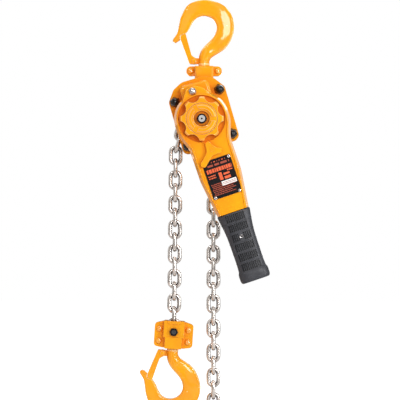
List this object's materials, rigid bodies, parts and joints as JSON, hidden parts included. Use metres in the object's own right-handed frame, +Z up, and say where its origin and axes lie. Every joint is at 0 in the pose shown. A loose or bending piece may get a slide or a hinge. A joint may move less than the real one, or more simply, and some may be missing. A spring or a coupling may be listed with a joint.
{
  "type": "lever chain hoist",
  "caption": "Hand-operated lever chain hoist: a swivel hook and housing with load sheave, geared brake, ratchet lever with rubber grip, and a load chain ending in a second swivel hook.",
  "frame": {"origin": "centre of the top hook's bowl, where the hoist is hung", "axes": "+Z up along the hanging hoist, +X to the right seen from the lever side, +Y from the lever side towards the gear case"},
  "size_m": [0.2205, 0.153, 0.7314],
  "materials": {
    "steel_forged": "gloss",
    "housing_paint": "gloss",
    "steel_black": "gloss",
    "steel_zinc": "satin",
    "chain_nickel": "polished",
    "steel_machined": "satin",
    "friction_lining": "matte",
    "wheel_paint": "gloss",
    "grip_rubber": "matte",
    "plate_black": "satin",
    "spring_steel": "satin",
    "bearing_bronze": "satin"
  },
  "bodies": {
    "hanger": {"top_hook": "steel_forged", "top_latch_pin": "steel_forged", "top_latch_spring": "spring_steel"},
    "top_latch": {"top_latch": "steel_forged"},
    "top_yoke": {"top_yoke_front": "steel_forged", "top_yoke_rear": "steel_forged", "top_yoke_rivets": "steel_forged"},
    "frame": {"top_pin": "steel_machined", "front_side_plate": "housing_paint", "rear_side_plate": "housing_paint", "stay_bolts": "steel_zinc", "stay_sleeves": "steel_zinc", "guide_roller": "steel_zinc", "dome_nuts": "steel_black", "gear_case_nuts": "steel_black", "gear_case": "housing_paint", "sheave_bearings": "bearing_bronze", "chain_stripper": "steel_machined", "brake_cover": "housing_paint", "pawl_pins": "steel_machined"},
    "sheave": {"load_sheave": "steel_machined", "load_gear": "steel_machined", "sheave_links": "chain_nickel"},
    "second_gear_upper": {"second_gear_upper": "steel_machined"},
    "second_gear_lower": {"second_gear_lower": "steel_machined"},
    "drive_shaft": {"pinion_shaft": "steel_machined", "brake_hub": "steel_machined", "friction_discs": "friction_lining", "drive_nut": "steel_machined", "shaft_nut": "steel_black", "free_spring": "spring_steel"},
    "ratchet_disc": {"ratchet_disc": "steel_machined"},
    "brake_pawl_left": {"brake_pawl_left": "steel_machined"},
    "brake_pawl_right": {"brake_pawl_right": "steel_machined"},
    "hand_wheel": {"hand_wheel": "wheel_paint"},
    "lever": {"lever_rear_shell": "housing_paint", "lever_front_shell": "housing_paint", "lever_bolt": "steel_zinc", "lever_dome_nut": "steel_zinc", "name_plate": "plate_black", "plate_rivets": "steel_zinc", "grip": "grip_rubber", "grip_pin": "steel_zinc"},
    "selector": {"selector_lever": "housing_paint"},
    "change_over_pawl": {"change_over_pawl": "steel_machined"},
    "load_chain_lead": {"load_chain_lead": "chain_nickel"},
    "load_chain": {"load_chain": "chain_nickel"},
    "slack_chain_lead": {"slack_chain_lead": "chain_nickel"},
    "slack_chain": {"slack_chain": "chain_nickel", "chain_end_stop": "steel_zinc"},
    "bottom_yoke": {"bottom_yoke_front": "steel_forged", "bottom_yoke_rear": "steel_forged", "bottom_yoke_rivets": "steel_forged", "chain_pin": "steel_zinc", "chain_pin_nut": "steel_black"},
    "bottom_hook": {"bottom_hook": "steel_forged", "bottom_latch_pin": "steel_forged", "bottom_latch_spring": "spring_steel"},
    "bottom_latch": {"bottom_latch": "steel_forged"}
  },
  "joints": [
    {"name": "top_hook_swivel", "type": "hinge", "parent": "hanger", "child": "top_yoke", "pos_m": [0, 0, -0.072], "axis": [0, 0, 1], "continuous": true},
    {"name": "top_latch_hinge", "type": "hinge", "parent": "hanger", "child": "top_latch", "pos_m": [-0.0175, 0, -0.056], "axis": [0, 1, 0], "range_deg": [0, 38], "stiffness_Nm_per_rad": 0.05, "springref_deg": -28.65},
    {"name": "housing_swing", "type": "hinge", "parent": "top_yoke", "child": "frame", "pos_m": [0, 0, -0.1023], "axis": [0, 1, 0], "range_deg": [-30, 30]},
    {"name": "sheave_spin", "type": "hinge", "parent": "frame", "child": "sheave", "pos_m": [-0.004, 0, -0.1573], "axis": [0, 1, 0], "range_deg": [-10, 10]},
    {"name": "drive_spin", "type": "hinge", "parent": "frame", "child": "drive_shaft", "pos_m": [-0.004, 0, -0.1573], "axis": [0, 1, 0], "range_deg": [-67.6, 67.6]},
    {"name": "second_gear_upper_spin", "type": "hinge", "parent": "frame", "child": "second_gear_upper", "pos_m": [-0.01107, 0, -0.13311], "axis": [0, 1, 0], "range_deg": [-26, 26]},
    {"name": "second_gear_lower_spin", "type": "hinge", "parent": "frame", "child": "second_gear_lower", "pos_m": [0.00307, 0, -0.18149], "axis": [0, 1, 0], "range_deg": [-26, 26]},
    {"name": "ratchet_spin", "type": "hinge", "parent": "frame", "child": "ratchet_disc", "pos_m": [-0.004, 0, -0.1573], "axis": [0, 1, 0], "range_deg": [0, 16]},
    {"name": "brake_pawl_left_hinge", "type": "hinge", "parent": "frame", "child": "brake_pawl_left", "pos_m": [-0.02879, 0, -0.1135], "axis": [0, -1, 0], "range_deg": [0, 7.2]},
    {"name": "brake_pawl_right_hinge", "type": "hinge", "parent": "frame", "child": "brake_pawl_right", "pos_m": [-0.00959, 0, -0.10788], "axis": [0, -1, 0], "range_deg": [0, 7.2]},
    {"name": "hand_wheel_pull", "type": "slide", "parent": "drive_shaft", "child": "hand_wheel", "axis": [0, -1, 0], "range_m": [0, 0.005], "stiffness_N_per_m": 400, "springref_m": -0.01, "deforming": ["free_spring"]},
    {"name": "lever_swing", "type": "hinge", "parent": "frame", "child": "lever", "pos_m": [-0.004, 0, -0.1573], "axis": [0, 1, 0], "continuous": true},
    {"name": "selector_turn", "type": "hinge", "parent": "lever", "child": "selector", "pos_m": [0.01341, 0, -0.20873], "axis": [0, -1, 0], "range_deg": [0, 96]},
    {"name": "change_over_turn", "type": "hinge", "parent": "lever", "child": "change_over_pawl", "pos_m": [0.01341, 0, -0.20873], "axis": [0, -1, 0], "range_deg": [0, 31.68]},
    {"name": "load_lead_hinge", "type": "hinge", "parent": "sheave", "child": "load_chain_lead", "pos_m": [-0.0278, 0, -0.14303], "axis": [0, 1, 0], "range_deg": [-10, 10]},
    {"name": "load_chain_hinge", "type": "hinge", "parent": "load_chain_lead", "child": "load_chain", "pos_m": [-0.03607, 0, -0.16999], "axis": [0, 1, 0], "range_deg": [-1, 10]},
    {"name": "slack_lead_hinge", "type": "hinge", "parent": "sheave", "child": "slack_chain_lead", "pos_m": [0.0198, 0, -0.17157], "axis": [0, 1, 0], "range_deg": [-10, 10]},
    {"name": "slack_chain_hinge", "type": "hinge", "parent": "slack_chain_lead", "child": "slack_chain", "pos_m": [0.02362, 0, -0.18489], "axis": [0, 1, 0], "range_deg": [-10, 1]},
    {"name": "bottom_yoke_hinge", "type": "hinge", "parent": "load_chain", "child": "bottom_yoke", "pos_m": [-0.05163, 0, -0.51804], "axis": [0, 1, 0], "range_deg": [-4, 8]},
    {"name": "bottom_hook_swivel", "type": "hinge", "parent": "bottom_yoke", "child": "bottom_hook", "pos_m": [-0.05163, 0, -0.51804], "axis": [0.0663, 0, 0.9978], "continuous": true},
    {"name": "bottom_latch_hinge", "type": "hinge", "parent": "bottom_hook", "child": "bottom_latch", "pos_m": [-0.07157, 0, -0.5543], "axis": [0, -1, 0], "range_deg": [0, 38], "stiffness_Nm_per_rad": 0.05, "springref_deg": -28.65}
  ],
  "couplings": [
    {"joint": "drive_spin", "follows": "sheave_spin", "ratio": 6.76},
    {"joint": "second_gear_upper_spin", "follows": "sheave_spin", "ratio": -2.6},
    {"joint": "second_gear_lower_spin", "follows": "sheave_spin", "ratio": -2.6},
    {"joint": "load_lead_hinge", "follows": "sheave_spin", "ratio": -1},
    {"joint": "slack_lead_hinge", "follows": "sheave_spin", "ratio": -1},
    {"joint": "brake_pawl_left_hinge", "follows": "ratchet_spin", "ratio": 0.45},
    {"joint": "brake_pawl_right_hinge", "follows": "ratchet_spin", "ratio": 0.45},
    {"joint": "change_over_turn", "follows": "selector_turn", "ratio": 0.33}
  ]
}
